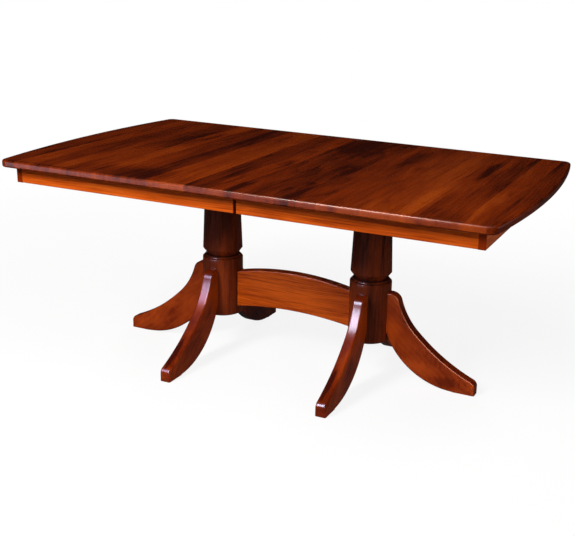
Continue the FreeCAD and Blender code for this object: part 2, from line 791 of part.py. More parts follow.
def centre_runner(end_name, end):
    """The fixed runner: a dovetail groove in each side, and a window for the pinion."""
    body = new_body("centre_runner_" + end_name, along=signed(end, SLIDE_PLACE))
    whole = "(2 * centre_half_length)"
    profile = new_sketch(body, "YZ_Plane", "(-centre_half_length)")
    top = "(%s - centre_top_gap)" % UNDERSIDE
    draw_outline(profile, [("(-centre_half_width)", BOARD_TOP), ("centre_half_width", BOARD_TOP),
                           ("centre_half_width", top), ("(-centre_half_width)", top)])
    grow(body, profile, whole)
    for _, face in SIDES:
        groove = new_sketch(body, "YZ_Plane", "(-centre_half_length)")
        root_half, tip_half, deep = ["(%s + tongue_clear)" % size for size in
                                     ("tongue_root_half", "tongue_tip_half", "tongue_deep")]
        draw_outline(groove, dovetail(signed(face, "centre_half_width"), -face, root_half, tip_half, deep))
        carve(body, groove, whole, upward=True)
    window = new_sketch(body, "XY_Plane", "(%s - pinion_thick / 2 - window_clear)" % PINION_LEVEL)
    reach = "(%s + window_clear)" % TIP_RADIUS
    draw_outline(window, [(signed(-1, reach), "(-centre_half_width)"), (reach, "(-centre_half_width)"),
                          (reach, "centre_half_width"), (signed(-1, reach), "centre_half_width")])
    carve(body, window, "(pinion_thick + 2 * window_clear)", upward=True)
    bore(body, [("0", "0")], "axle_radius", "(%s + axle_under)" % BOARD_TOP, "axle_length")
    stops = [(signed(side, STOP_PLACE), signed(-side * end, STOP_OFFSET)) for _, side in SIDES]
    bore(body, stops, "stop_pin_radius", "(%s - stop_pin_length)" % top, "stop_pin_length")
    screws = [("(%d * %s + %d * board_screw_spread / 2)" % (side, COLUMN_PLACE, step), "0")
              for _, side in SIDES for step in (-1, 1)]
    bore(body, screws, "(screw_radius + screw_clear)", BOARD_TOP,
         "(%s + board_screw_length - %s + screw_clear)" % (BOARD_SCREW_HEAD, BOARD_TOP))


def moving_runner(name, side, end_name, end):
    """A runner under one half: its dovetail tongue runs in the centre runner's groove."""
    body = new_body("runner_%s_%s" % (end_name, name), along=signed(end, SLIDE_PLACE))
    outward = -side * end
    face = signed(outward, RUNNER_FACE)
    back = signed(outward, "(%s + runner_width)" % RUNNER_FACE)
    inner, outer = signed(-side, "runner_inner_end"), signed(side, RUNNER_END)
    plan = new_sketch(body, "XY_Plane", RUNNER_BOTTOM)
    draw_outline(plan, [(inner, face), (outer, face), (outer, back), (inner, back)])
    grow(body, plan, "(slide_height - runner_underclear)")
    tongue = new_sketch(body, "YZ_Plane", inner)
    draw_outline(tongue, dovetail(face, -outward, "tongue_root_half", "tongue_tip_half", "tongue_deep"))
    grow(body, tongue, "(%s + runner_inner_end)" % TONGUE_END, backward=side < 0)
    relief = new_sketch(body, "XY_Plane", UNDERSIDE)
    draw_outline(relief, [(inner, face), ("0", face), ("0", back), (inner, back)])
    carve(body, relief, "runner_relief")
    channel = new_sketch(body, "XY_Plane", "(%s - rack_thick / 2)" % PINION_LEVEL)
    far, near = signed(-side, RACK_TRAIL), signed(side, RACK_LEAD)
    bottom = signed(outward, "(%s + rack_back)" % RACK_ROOT)
    draw_outline(channel, [(far, face), (near, face), (near, bottom), (far, bottom)])
    carve(body, channel, "rack_thick", upward=True)
    middle = signed(outward, RUNNER_MIDDLE)
    along = spaced("runner_screw_first", "(%s - runner_screw_end)" % RUNNER_END, "runner_screws")
    screw_bores(body, [(signed(side, x), middle) for x in along])


def solid_from(points, low, height):
    """An upright prism on a closed outline of points."""
    corners = [FreeCAD.Vector(x, y, low) for x, y in points]
    face = Part.Face(Part.makePolygon(corners + corners[:1]))
    return face.extrude(FreeCAD.Vector(0, 0, height))


def keep_shape(label, shape, place):
    """A sub-part whose shape comes from a formula that no sketch holds well."""
    made = doc.addObject("Part::Feature", label)
    made.Label = label
    made.Shape = shape
    made.Placement = FreeCAD.Placement(place, FreeCAD.Rotation())
    bodies.append(made)


def rack(name, side, end_name, end):
    """A straight rack. A tooth space lies at the middle of the table, where the pinion meets it."""
    module, pitch = worth("tooth_module"), worth(TOOTH_PITCH)
    outward = -side * end
    slope = math.tan(PRESSURE_ANGLE)
    half_tooth = pitch / 4 - worth("tooth_backlash") / 4
    root, tip = worth(RACK_ROOT), worth(PITCH_RADIUS) - module
    back = root + worth("rack_back")
    root_half = half_tooth + TOOTH_ROOT_SHARE * module * slope
    tip_half = half_tooth - module * slope
    start, finish = -worth(RACK_TRAIL), worth(RACK_LEAD)
    line = [(start, root)]
    for tooth in range(round((finish - start) / pitch)):
        middle = start + (tooth + 0.5) * pitch
        line += [(middle - root_half, root), (middle - tip_half, tip),
                 (middle + tip_half, tip), (middle + root_half, root)]
    line += [(finish, root), (finish, back), (start, back)]
    points = [(side * x, outward * y) for x, y in line]
    low = worth(PINION_LEVEL) - worth("rack_thick") / 2
    shape = solid_from(points, low, worth("rack_thick"))
    keep_shape("rack_%s_%s" % (end_name, name), shape, FreeCAD.Vector(0, end * worth(SLIDE_PLACE), 0))


def pinion(end_name, end):
    """The gear on the upright axle: involute teeth, one of them pointing at each rack."""
    module, teeth = worth("tooth_module"), count("pinion_teeth")
    pitch_radius, tip_radius = worth(PITCH_RADIUS), worth(TIP_RADIUS)
    base_radius = pitch_radius * math.cos(PRESSURE_ANGLE)
    root_radius = pitch_radius - TOOTH_ROOT_SHARE * module
    half_angle = (math.pi * module / 2 - worth("tooth_backlash") / 2) / (2 * pitch_radius)

    def roll(radius):
        pressure = math.acos(min(1.0, base_radius / radius))
        return math.tan(pressure) - pressure

    steps = count("flank_points")
    radii = [base_radius + (tip_radius - base_radius) * step / steps for step in range(steps + 1)]
    flank = [(root_radius, half_angle + roll(pitch_radius))]
    flank += [(radius, half_angle + roll(pitch_radius) - roll(radius)) for radius in radii]
    points = []
    for tooth in range(teeth):
        middle = math.pi / 2 + tooth * 2 * math.pi / teeth
        points += [(r * math.cos(middle - a), r * math.sin(middle - a)) for r, a in flank]
        points += [(r * math.cos(middle + a), r * math.sin(middle + a)) for r, a in reversed(flank)]
    thick = worth("pinion_thick")
    low = worth(PINION_LEVEL) - thick / 2
    hole = Part.makeCylinder(worth("axle_radius + pinion_fit"), thick, FreeCAD.Vector(0, 0, low))
    shape = solid_from(points, low, thick).cut(hole)
    keep_shape("pinion_" + end_name, shape, FreeCAD.Vector(0, end * worth(SLIDE_PLACE), 0))


def pinion_axles():
    body = new_body("pinion_axles")
    places = [("0", signed(end, SLIDE_PLACE)) for _, end in ENDS]
    studs(body, places, "axle_radius", "(%s + axle_under)" % BOARD_TOP, "axle_length")


def stop_pins():
    """Pins across the ends of the grooves, where the tongues stop."""
    body = new_body("stop_pins")
    places = [(signed(side, STOP_PLACE), signed(end, "(%s - %d * %s)" % (SLIDE_PLACE, side, STOP_OFFSET)))
              for _, side in SIDES for _, end in ENDS]
    studs(body, places, "stop_pin_radius", "(%s - centre_top_gap - stop_pin_length)" % UNDERSIDE,
          "stop_pin_length")


# Seam hardware

def alignment_pins():
    """Pins fixed in the right half's seam that slip into the left half's."""
    body = new_body("alignment_pins")
    studs(body, pin_places(), "pin_radius", "(%s - pin_outstand)" % SEAM, "pin_length", "YZ_Plane")
    tip = worth("%s - pin_outstand" % SEAM)
    round_edges(body, "pin_point", lambda edge: lies_at(edge, 0, tip))


def headed_studs(label, reach):
    """A shouldered screw under the top with a flat head below the lock bar."""
    body = new_body(label)
    places = lock_places(reach)
    gap = "(2 * lock_gap + lock_thick)"
    studs(body, places, "lock_stem_radius", "(%s - %s)" % (UNDERSIDE, gap), "(%s + lock_stem_bite)" % gap)
    studs(body, places, "lock_head_radius", "(%s - %s - lock_head_thick)" % (UNDERSIDE, gap),
          "lock_head_thick")


def table_lock(end_name, end):
    """A flat bar that swings on its pivot from lying across the table to reaching over the seam."""
    body = new_body("table_lock_" + end_name, across="(-lock_pivot_in)", along=signed(end, LOCK_PLACE))
    nose = "(lock_pivot_in + lock_keeper_out + lock_nose - lock_half_width)"
    tail = "(lock_tail - lock_half_width)"
    level = "(%s - lock_gap - lock_thick)" % UNDERSIDE
    plan = new_sketch(body, "XY_Plane", level)
    draw_outline(plan, [
        ("(-lock_half_width)", signed(end, tail)),
        ("0", signed(end, "lock_tail"), "lock_half_width", end),
        ("lock_half_width", signed(end, tail), "lock_half_width", end),
        ("lock_half_width", signed(-end, nose)),
        ("0", signed(-end, "(%s + lock_half_width)" % nose), "lock_half_width", end),
        ("(-lock_half_width)", signed(-end, nose), "lock_half_width", end),
    ])
    grow(body, plan, "lock_thick")
    bore(body, [("0", "0")], "(lock_stem_radius + lock_stem_fit)", level, "lock_thick")
    slot = new_sketch(body, "XY_Plane", level)
    middle = "(lock_pivot_in + lock_keeper_out)"
    near, far = ["(%s + %d * lock_slot_half)" % (middle, step) for step in (-1, 1)]
    draw_outline(slot, [
        ("lock_half_width", signed(-end, near)), ("(-lock_slot_past)", signed(-end, near)),
        ("(-lock_slot_past)", signed(-end, far)), ("lock_half_width", signed(-end, far)),
    ])
    carve(body, slot, "lock_thick", upward=True)


# Build every piece

for name, side in SIDES:
    table_top(name, side)
    end_apron(name, side)
    corner_blocks(name, side)
    column(name, side)
    lag_screws(name, side)
    leg_bolts(name, side)
    mounting_board(name, side)
    leg("leg_outer_" + name, side, 0 if side > 0 else 180)
    for end_name, end in ENDS:
        long_apron(name, side, end_name, end)
        leg("leg_%s_%s" % (end_name, name), side, 90 * end)
        moving_runner(name, side, end_name, end)
        rack(name, side, end_name, end)
    wood_screws("runner_screws_" + name, runner_screw_places(side))
    wood_screws("apron_screws_" + name, apron_screw_places(side))

for end_name, end in ENDS:
    centre_runner(end_name, end)
    pinion(end_name, end)
    table_lock(end_name, end)

stretcher()
foot_glides()
board_screws()
pinion_axles()
stop_pins()
alignment_pins()
headed_studs("lock_pivots", "(-lock_pivot_in)")
headed_studs("lock_keepers", "lock_keeper_out")

# Check the model, then write one file for each piece

doc.recompute()
for thing in doc.Objects:
    if "Invalid" in thing.State or "Error" in thing.State:
        raise RuntimeError("%s did not build: %s" % (thing.Label, thing.State))
for piece in bodies:
    if piece.Shape.isNull() or not piece.Shape.isValid():
        raise RuntimeError("%s has no valid shape" % piece.Label)

os.makedirs("parts", exist_ok=True)
for piece in bodies:
    piece.Shape.exportStep(os.path.join("parts", piece.Label + ".step"))
    print("%-24s %3d solids %12.0f mm3" % (piece.Label, len(piece.Shape.Solids), piece.Shape.Volume))
print("%d pieces" % len(bodies))
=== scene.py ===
"""The double-pedestal extension table in its finish: turned and sawn wood, fittings, light and camera."""
import json
import math

import bmesh
import bpy
import numpy as np
from mathutils import Matrix, Vector

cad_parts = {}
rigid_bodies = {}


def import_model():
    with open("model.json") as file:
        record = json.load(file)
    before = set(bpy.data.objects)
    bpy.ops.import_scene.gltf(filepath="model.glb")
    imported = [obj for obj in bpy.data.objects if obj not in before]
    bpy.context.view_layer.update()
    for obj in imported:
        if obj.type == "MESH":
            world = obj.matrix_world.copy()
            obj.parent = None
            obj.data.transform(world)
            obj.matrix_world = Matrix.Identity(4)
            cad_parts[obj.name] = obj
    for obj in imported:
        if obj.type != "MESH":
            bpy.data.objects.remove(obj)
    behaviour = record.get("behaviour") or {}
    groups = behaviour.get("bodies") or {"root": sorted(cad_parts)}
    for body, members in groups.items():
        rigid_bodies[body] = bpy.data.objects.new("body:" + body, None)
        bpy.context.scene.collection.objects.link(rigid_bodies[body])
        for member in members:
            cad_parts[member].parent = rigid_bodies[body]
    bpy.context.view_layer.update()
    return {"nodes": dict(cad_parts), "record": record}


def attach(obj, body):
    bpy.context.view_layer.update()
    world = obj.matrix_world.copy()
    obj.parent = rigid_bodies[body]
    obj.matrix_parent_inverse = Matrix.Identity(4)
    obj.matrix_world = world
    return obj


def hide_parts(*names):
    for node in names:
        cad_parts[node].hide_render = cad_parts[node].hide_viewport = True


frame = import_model()

# Sizes in metres: heights from the floor, reaches from the column's axis

COLUMN_PLACE = 0.3048
COLUMN_BOTTOM, COLUMN_TOP = 0.143, 0.6586
WELL_RADIUS, WELL_TOP = 0.045, 0.340
DRUM_RADIUS, DRUM_TOP, DRUM_FOOT_ROUND = 0.076, 0.362, 0.006
DRUM_HEAD_HEIGHT, DRUM_HEAD_CURVE = 0.0058, 0.013
BEAD_RADIUS, BEAD_HEIGHT, BEAD_CURVE = 0.0698, 0.0071, 0.0105
GROOVE_RADIUS = 0.0567
SHOULDER_RADIUS, SHOULDER_HEIGHT = 0.0746, 0.0239
NECK_RADIUS = 0.064

# A leg's outline from its root's foot over sole, toe and back to its head: reach and height of each corner and,
# where a curve ends there, its radius and side
LEG_ROOT = 0.070
SOLE_HEIGHT = 0.001
LEG_OUTLINE = [
    (LEG_ROOT, 0.186),
    (0.316, SOLE_HEIGHT, 0.289, -1),
    (0.415, SOLE_HEIGHT),
    (0.415, 0.028),
    (0.400, 0.051, 0.024, -1),
    (0.194, 0.1854, 0.669, 1),
    (0.1185, 0.303, 0.255, 1),
    (0.082, 0.3305, 0.038, -1),
    (LEG_ROOT, 0.3305),
]
LEG_THICK, LEG_EDGE_ROUND = 0.040, 0.006

STRETCHER_THICK, STRETCHER_EDGE_ROUND = 0.038, 0.004
STRETCHER_TOP, STRETCHER_TOP_END = 0.341, 0.314
STRETCHER_BOTTOM, STRETCHER_BOTTOM_END = 0.195, 0.175
JOINT_LAP = 0.006

# How finely the surfaces are divided, in metres or in steps
CURVE_STEP, STRAIGHT_STEP = 0.004, 0.020
LEAST_CURVE_STEPS, ROUND_STEPS, FACE_STEPS, TURNED_STEPS = 6, 6, 8, 160
SHARP_ANGLE = math.radians(32)
# Sine of the angle below which two sides of an outline count as one smooth run
NEARLY_STRAIGHT = 0.02
SAME_PLACE = 1e-6


# Curves

def run(start, end, radius=0, side=1):
    """Points from start up to, but without, end. Straight: start + share * (end - start). Curved: centre +
    radius * (cos, sin) of an angle that goes evenly the short way; side 1 bulges to the left of the way and -1 to
    the right."""
    start, end = np.array(start, float), np.array(end, float)
    way = end - start
    length = np.hypot(*way)
    if not radius:
        steps = max(1, math.ceil(length / STRAIGHT_STEP))
        return start + np.arange(steps)[:, None] / steps * way
    left = np.array((-way[1], way[0])) / length
    centre = (start + end) / 2 - left * side * math.sqrt(radius ** 2 - length ** 2 / 4)
    first, last = (math.atan2(*(point - centre)[::-1]) for point in (start, end))
    sweep = (last - first + math.pi) % (2 * math.pi) - math.pi
    steps = max(LEAST_CURVE_STEPS, math.ceil(radius * abs(sweep) / CURVE_STEP))
    angle = first + sweep * np.arange(steps) / steps
    return centre + radius * np.stack((np.cos(angle), np.sin(angle)), 1)


def chain(corners, closed):
    """The runs through all corners, one after another. A corner's radius and side belong to the run that ends
    there."""
    pairs = list(zip(corners[:-1], corners[1:]))
    if closed:
        pairs.append((corners[-1], corners[0]))
    parts = [run(before[:2], here[:2], *here[2:]) for before, here in pairs]
    if not closed:
        parts.append(np.array([corners[-1][:2]], float))
    return np.concatenate(parts)


def inset(points, depth):
    """A closed counter-clockwise outline with each side moved inward by its own depth. A corner shifts by s, where
    s . n1 = d1 and s . n2 = d2 for the inward normals of its two sides. On a smooth run s is the mean of n1 * d1
    and n2 * d2."""
    after = np.roll(points, -1, 0) - points
    normal = np.stack((-after[:, 1], after[:, 0]), 1) / np.hypot(*after.T)[:, None]
    former, former_depth = np.roll(normal, 1, 0), np.roll(depth, 1)
    cross = former[:, 0] * normal[:, 1] - former[:, 1] * normal[:, 0]
    smooth = np.abs(cross) < NEARLY_STRAIGHT
    safe = np.where(smooth, 1, cross)
    swung = np.stack((normal[:, 1], -normal[:, 0]), 1) * former_depth[:, None]
    former_swung = np.stack((former[:, 1], -former[:, 0]), 1) * depth[:, None]
    corner = (swung - former_swung) / safe[:, None]
    mean = (normal * depth[:, None] + former * former_depth[:, None]) / 2
    return points + np.where(smooth[:, None], mean, corner)


def arc_radius(half_width, rise):
    """The radius of an arc that rises by rise over twice half_width: (half_width ^ 2 + rise ^ 2) / (2 rise)."""
    return (half_width ** 2 + rise ** 2) / (2 * rise)


# Meshes

def skin(name, grid, capped):
    """A closed mesh over a grid of rings, each ring going round. With capped its first and last ring are flat
    faces; without, they are single points, whose doubles merge into a pole."""
    rings, count = grid.shape[:2]
    index = np.arange(rings * count).reshape(rings, count)
    beside = np.roll(index, -1, 1)
    faces = np.stack((index[:-1], beside[:-1], beside[1:], index[1:]), 2).reshape(-1, 4).tolist()
    if capped:
        faces += [index[0, ::-1].tolist(), index[-1].tolist()]
    mesh = bpy.data.meshes.new(name)
    mesh.from_pydata(grid.reshape(-1, 3).tolist(), [], faces)
    build = bmesh.new()
    build.from_mesh(mesh)
    bmesh.ops.remove_doubles(build, verts=build.verts, dist=SAME_PLACE)
    bmesh.ops.dissolve_degenerate(build, edges=build.edges, dist=SAME_PLACE)
    bmesh.ops.recalc_face_normals(build, faces=build.faces)
    build.to_mesh(mesh)
    build.free()
    mesh.shade_smooth()
    mesh.set_sharp_from_angle(angle=SHARP_ANGLE)
    piece = bpy.data.objects.new(name, mesh)
    bpy.context.scene.collection.objects.link(piece)
    return piece


def turned(name, profile, across):
    """A turned piece: profile points (r, z) become (across + r cos a, r sin a, z) for a all the way round."""
    angle = np.arange(TURNED_STEPS) * 2 * math.pi / TURNED_STEPS
    radius, height = profile[:, :1], profile[:, 1:]
    grid = np.stack((across + radius * np.cos(angle), radius * np.sin(angle),
                     np.broadcast_to(height, (len(profile), TURNED_STEPS))), 2)
    return skin(name, grid, False)


def sawn(outline, rounded, thick, edge_round):
    """Rings of a board sawn to an outline, from one face to the other, as (u, y, v) points. Ring by ring the
    outline goes in by edge_round * (1 - sin a) and stands at y = thick / 2 - edge_round * (1 - cos a) for a from 0
    to a right angle, then stays whole across the edge, and mirrors that on the far side. Sides that aren't rounded
    stay put."""
    angle = np.linspace(0, math.pi / 2, ROUND_STEPS + 1)
    depth = edge_round * (1 - np.sin(angle))
    place = thick / 2 - edge_round * (1 - np.cos(angle))
    across = np.linspace(place[-1], -place[-1], FACE_STEPS + 1)[1:-1]
    depth = np.concatenate((depth, np.zeros(FACE_STEPS - 1), depth[::-1]))
    place = np.concatenate((place, across, -place[::-1]))
    rings = [inset(outline, rounded * step) for step in depth]
    return np.stack([np.insert(ring, 1, y, axis=1) for ring, y in zip(rings, place)])


def coped(grid, across=0, side=1):
    """Every point that lies inside the drum comes out to it: side * (x - across) is at least sqrt(R ^ 2 - y ^ 2)
    for the drum's radius R."""
    reach = side * (grid[..., 0] - across)
    wall = np.sqrt(DRUM_RADIUS ** 2 - grid[..., 1] ** 2)
    made = grid.copy()
    made[..., 0] = across + side * np.maximum(reach, wall)
    return made


def turned_about(grid, turn, across):
    """The grid turned by an angle t about the upright axis and moved along the table:
    (across + x cos t - y sin t, x sin t + y cos t, z)."""
    x, y, z = grid[..., 0], grid[..., 1], grid[..., 2]
    cosine, sine = round(math.cos(turn), 12), round(math.sin(turn), 12)
    return np.stack((across + x * cosine - y * sine, x * sine + y * cosine, z), -1)


# The columns, legs and stretcher

def column_profile():
    """Half the column's section, from the well's top out and down to its mouth, round the foot and up to the
    head: straight runs, with arcs at the drum's foot, at its head and on the bead."""
    bead_bottom = DRUM_TOP + DRUM_HEAD_HEIGHT
    bead_top = bead_bottom + BEAD_HEIGHT
    return chain([
        (0, WELL_TOP),
        (WELL_RADIUS, WELL_TOP),
        (WELL_RADIUS, COLUMN_BOTTOM),
        (DRUM_RADIUS - DRUM_FOOT_ROUND, COLUMN_BOTTOM),
        (DRUM_RADIUS, COLUMN_BOTTOM + DRUM_FOOT_ROUND, DRUM_FOOT_ROUND, -1),
        (DRUM_RADIUS, DRUM_TOP),
        (BEAD_RADIUS, bead_bottom, DRUM_HEAD_CURVE, -1),
        (GROOVE_RADIUS, bead_top, BEAD_CURVE, -1),
        (SHOULDER_RADIUS, bead_top + SHOULDER_HEIGHT),
        (NECK_RADIUS, COLUMN_TOP),
        (0, COLUMN_TOP),
    ], False)


def leg_grid():
    """One sabre leg in its own frame, pointing along +x from the column's axis: the board sawn to the leg's
    outline of straight runs and arcs, with its root and sole left sharp, coped to the drum."""
    outline = chain(LEG_OUTLINE, True)
    after = np.roll(outline, -1, 0)
    at_root, at_sole = ((outline[:, axis] <= limit + SAME_PLACE) & (after[:, axis] <= limit + SAME_PLACE)
                        for axis, limit in ((0, LEG_ROOT), (1, SOLE_HEIGHT)))
    rounded = np.where(at_root | at_sole, 0.0, 1.0)
    return coped(sawn(outline, rounded, LEG_THICK, LEG_EDGE_ROUND))


def stretcher_grid():
    """The arched board: top and bottom rise by an arc from their ends to the middle, the upright ends stay sharp
    and are coped to both drums."""
    end = COLUMN_PLACE - DRUM_RADIUS + JOINT_LAP
    outline = chain([
        (-end, STRETCHER_BOTTOM_END),
        (end, STRETCHER_BOTTOM_END, arc_radius(end, STRETCHER_BOTTOM - STRETCHER_BOTTOM_END), 1),
        (end, STRETCHER_TOP_END),
        (-end, STRETCHER_TOP_END, arc_radius(end, STRETCHER_TOP - STRETCHER_TOP_END), -1),
    ], True)
    after = np.roll(outline, -1, 0)
    upright = np.abs(outline[:, 0] - after[:, 0]) < SAME_PLACE
    grid = sawn(outline, np.where(upright, 0.0, 1.0), STRETCHER_THICK, STRETCHER_EDGE_ROUND)
    return coped(coped(grid, COLUMN_PLACE, -1), -COLUMN_PLACE, 1)


# Node helpers

VALUE, VECTOR = "NodeSocketFloat", "NodeSocketVector"
# Most of a noise lies between these
NOISE_LOW, NOISE_HIGH = 0.3, 0.7


def node(tree, kind, inputs=None, **settings):
    """One shader node: its settings, then its inputs by name or number, each a value or another node's output."""
    made = tree.nodes.new(kind)
    for name, value in settings.items():
        setattr(made, name, value)
    for socket, value in (inputs or {}).items():
        if isinstance(value, bpy.types.NodeSocket):
            tree.links.new(value, made.inputs[socket])
        else:
            made.inputs[socket].default_value = value
    return made


def maths(tree, operation, first, second=0.0, third=0.0):
    return node(tree, "ShaderNodeMath", {0: first, 1: second, 2: third}, operation=operation).outputs[0]


def vectors(tree, operation, first, second=(0.0, 0.0, 0.0), output="Vector"):
    return node(tree, "ShaderNodeVectorMath", {0: first, 1: second}, operation=operation).outputs[output]


def scaled(tree, vector, factor):
    return node(tree, "ShaderNodeVectorMath", {0: vector, "Scale": factor}, operation="SCALE").outputs["Vector"]


def noise(tree, place, cells, detail, rough, output="Fac"):
    """Cloudy noise with so many cells in a metre along each axis."""
    place = vectors(tree, "MULTIPLY", place, cells)
    return node(tree, "ShaderNodeTexNoise",
                {"Vector": place, "Scale": 1.0, "Detail": detail, "Roughness": rough}).outputs[output]


def spread(tree, value, low, high, new_low=0.0, new_high=1.0):
    """The value with low to high mapped to the new range, and what lies outside kept to its ends."""
    return node(tree, "ShaderNodeMapRange", {"Value": value, "From Min": low, "From Max": high,
                                             "To Min": new_low, "To Max": new_high}, clamp=True).outputs[0]


def mixed(tree, share, first, second):
    return node(tree, "ShaderNodeMixShader", {0: share, 1: first, 2: second}).outputs[0]


def group(name, inputs, outputs):
    """An empty node group with its named inputs (kind, default) and outputs (kind)."""
    tree = bpy.data.node_groups.new(name, "ShaderNodeTree")
    for label, (kind, default) in inputs.items():
        socket = tree.interface.new_socket(label, in_out="INPUT", socket_type=kind)
        if default is not None:
            socket.default_value = default
    for label, kind in outputs.items():
        tree.interface.new_socket(label, in_out="OUTPUT", socket_type=kind)
    return tree, tree.nodes.new("NodeGroupInput").outputs, tree.nodes.new("NodeGroupOutput").inputs


def use(tree, kind, **inputs):
    """The outputs of one of the groups below, with its inputs by name (underscores for spaces)."""
    labelled = {label.replace("_", " "): value for label, value in inputs.items()}
    return node(tree, "ShaderNodeGroup", labelled, node_tree=kind).outputs


def new_material(name, **constants):
    """A material, its tree and the inputs of its Principled shader, where the constants are set."""
    material = bpy.data.materials.new(name)
    material.use_nodes = True
    tree = material.node_tree
    shader = tree.nodes["Principled BSDF"]
    for label, value in constants.items():
        shader.inputs[label.replace("_", " ")].default_value = value
    return material, tree, shader.inputs


def bumped(tree, shader, height, strength, depth):
    bump = node(tree, "ShaderNodeBump", {"Height": height, "Strength": strength, "Distance": depth}).outputs[0]
    tree.links.new(bump, shader["Normal"])


def emptied(owner):
    """The tree of a material or world, without its first nodes."""
    owner.use_nodes = True
    owner.node_tree.nodes.clear()
    return owner.node_tree


def linear(red, green, blue):
    """A colour picked as it looks on a screen, as the light it stands for."""
    picked = np.array((red, green, blue)) / 255
    light = np.where(picked <= 0.04045, picked / 12.92, ((picked + 0.055) / 1.055) ** 2.4)
    return (*light.tolist(), 1.0)


# The wood's pattern, with its grain along x

# Cells in a metre along the grain and across it, detail and roughness of each noise
DRIFT = ((2.2, 9.0, 9.0), 1.0, 0.5)
STREAKS = ((5.0, 130.0, 130.0), 3.0, 0.6)
FIBRES = ((24.0, 900.0, 900.0), 3.0, 0.65)
PORES = ((60.0, 2600.0, 2600.0), 1.0, 0.5)
CLOUDS = ((3.0, 14.0, 14.0), 2.0, 0.5)
HEART = ((3.4, 26.0, 26.0), 3.0, 0.55)
RAGS = ((75.0, 6.0, 6.0), 4.0, 0.65)

# Where the noise begins to be a pore or heartwood, and where it is wholly that
PORE_LIMITS, HEART_LIMITS = (0.62, 0.74), (0.56, 0.72)
# How far the grain drifts in metres at waviness 1, and where the rings' pith runs below the board
GRAIN_DRIFT, PITH = 0.05, (0.0, 0.013, 0.085)
# The width of one ring of a ring wave at scale 1, and what narrows a ring's dark part
WAVE_WIDTH, RING_POWER = 0.314, 2.2
RING_WAVE = {"Distortion": 1.2, "Detail": 2.0, "Detail Scale": 0.35}

BOARD_UNEVENNESS, GLUE_LINE = 0.55, 0.0012
# How far a board's own grain shifts, at most, along and across
BOARD_SHIFT = (7.0, 0.31, 0.023)
# The share of a face's normal along the way from which it starts to count and wholly counts
FACING_LIMITS = (0.6, 0.95)
# How ragged a patch's edge is, and the distances in half sizes where it is whole and where it ends
PATCH_RAGGED, PATCH_LIMITS = 2.4, (0.4, 1.2)


def board_grain():
    """Sawn wood with its grain along x: growth rings round a pith below the board, drifting streaks, fine fibres,
    short pores, cloudy stain and long patches of dark heartwood. Place is in metres."""
    tree, given, out = group("board_grain", {
        "Place": (VECTOR, None), "Ring width": (VALUE, 0.007), "Waviness": (VALUE, 0.5),
    }, {"Rings": VALUE, "Streaks": VALUE, "Fibres": VALUE, "Pores": VALUE, "Clouds": VALUE, "Heart": VALUE})
    drift = vectors(tree, "SUBTRACT", noise(tree, given["Place"], *DRIFT, output="Color"), (0.5, 0.5, 0.5))
    shift = scaled(tree, drift, maths(tree, "MULTIPLY", given["Waviness"], GRAIN_DRIFT))
    place = vectors(tree, "ADD", given["Place"], shift)
    pith = vectors(tree, "ADD", place, PITH)
    scale = maths(tree, "DIVIDE", WAVE_WIDTH, given["Ring width"])
    rings = node(tree, "ShaderNodeTexWave", {"Vector": pith, "Scale": scale, **RING_WAVE},
                 wave_type="RINGS", rings_direction="X", wave_profile="SAW").outputs["Fac"]
    tree.links.new(maths(tree, "POWER", rings, RING_POWER), out["Rings"])
    for label, pattern in (("Streaks", STREAKS), ("Fibres", FIBRES), ("Clouds", CLOUDS)):
        tree.links.new(noise(tree, place, *pattern), out[label])
    for label, pattern, limits in (("Pores", PORES, PORE_LIMITS), ("Heart", HEART, HEART_LIMITS)):
        tree.links.new(spread(tree, noise(tree, place, *pattern), *limits), out[label])
    return tree


def glued_boards():
    """Boards of uneven width glued edge to edge. Across is a place in metres across them. Each gets a tone from 0
    to 1 and a shift of its grain, and Joint is 1 on the glue line."""
    tree, given, out = group("glued_boards", {
        "Across": (VALUE, 0.0), "Board width": (VALUE, 0.09), "Joint width": (VALUE, GLUE_LINE),
    }, {"Tone": VALUE, "Shift": VECTOR, "Joint": VALUE})
    across = maths(tree, "DIVIDE", given["Across"], given["Board width"])

    def cells(feature, output):
        return node(tree, "ShaderNodeTexVoronoi", {"W": across, "Scale": 1.0, "Randomness": BOARD_UNEVENNESS},
                    voronoi_dimensions="1D", feature=feature).outputs[output]

    board = cells("F1", "Color")
    tree.links.new(node(tree, "ShaderNodeSeparateXYZ", {0: board}).outputs[0], out["Tone"])
    tree.links.new(vectors(tree, "MULTIPLY", board, BOARD_SHIFT), out["Shift"])
    distance = maths(tree, "MULTIPLY", cells("DISTANCE_TO_EDGE", "Distance"), given["Board width"])
    near = maths(tree, "DIVIDE", distance, given["Joint width"])
    tree.links.new(spread(tree, near, 0.0, 1.0, 1.0, 0.0), out["Joint"])
    return tree


def facing_way():
    """Along is 1 where a face looks along Way or against it, and 0 where it looks across it."""
    tree, given, out = group("facing_way", {"Normal": (VECTOR, None), "Way": (VECTOR, (1.0, 0.0, 0.0))},
                             {"Along": VALUE})
    along = vectors(tree, "DOT_PRODUCT", given["Normal"], given["Way"], output="Value")
    tree.links.new(spread(tree, maths(tree, "ABSOLUTE", along), *FACING_LIMITS), out["Along"])
    return tree


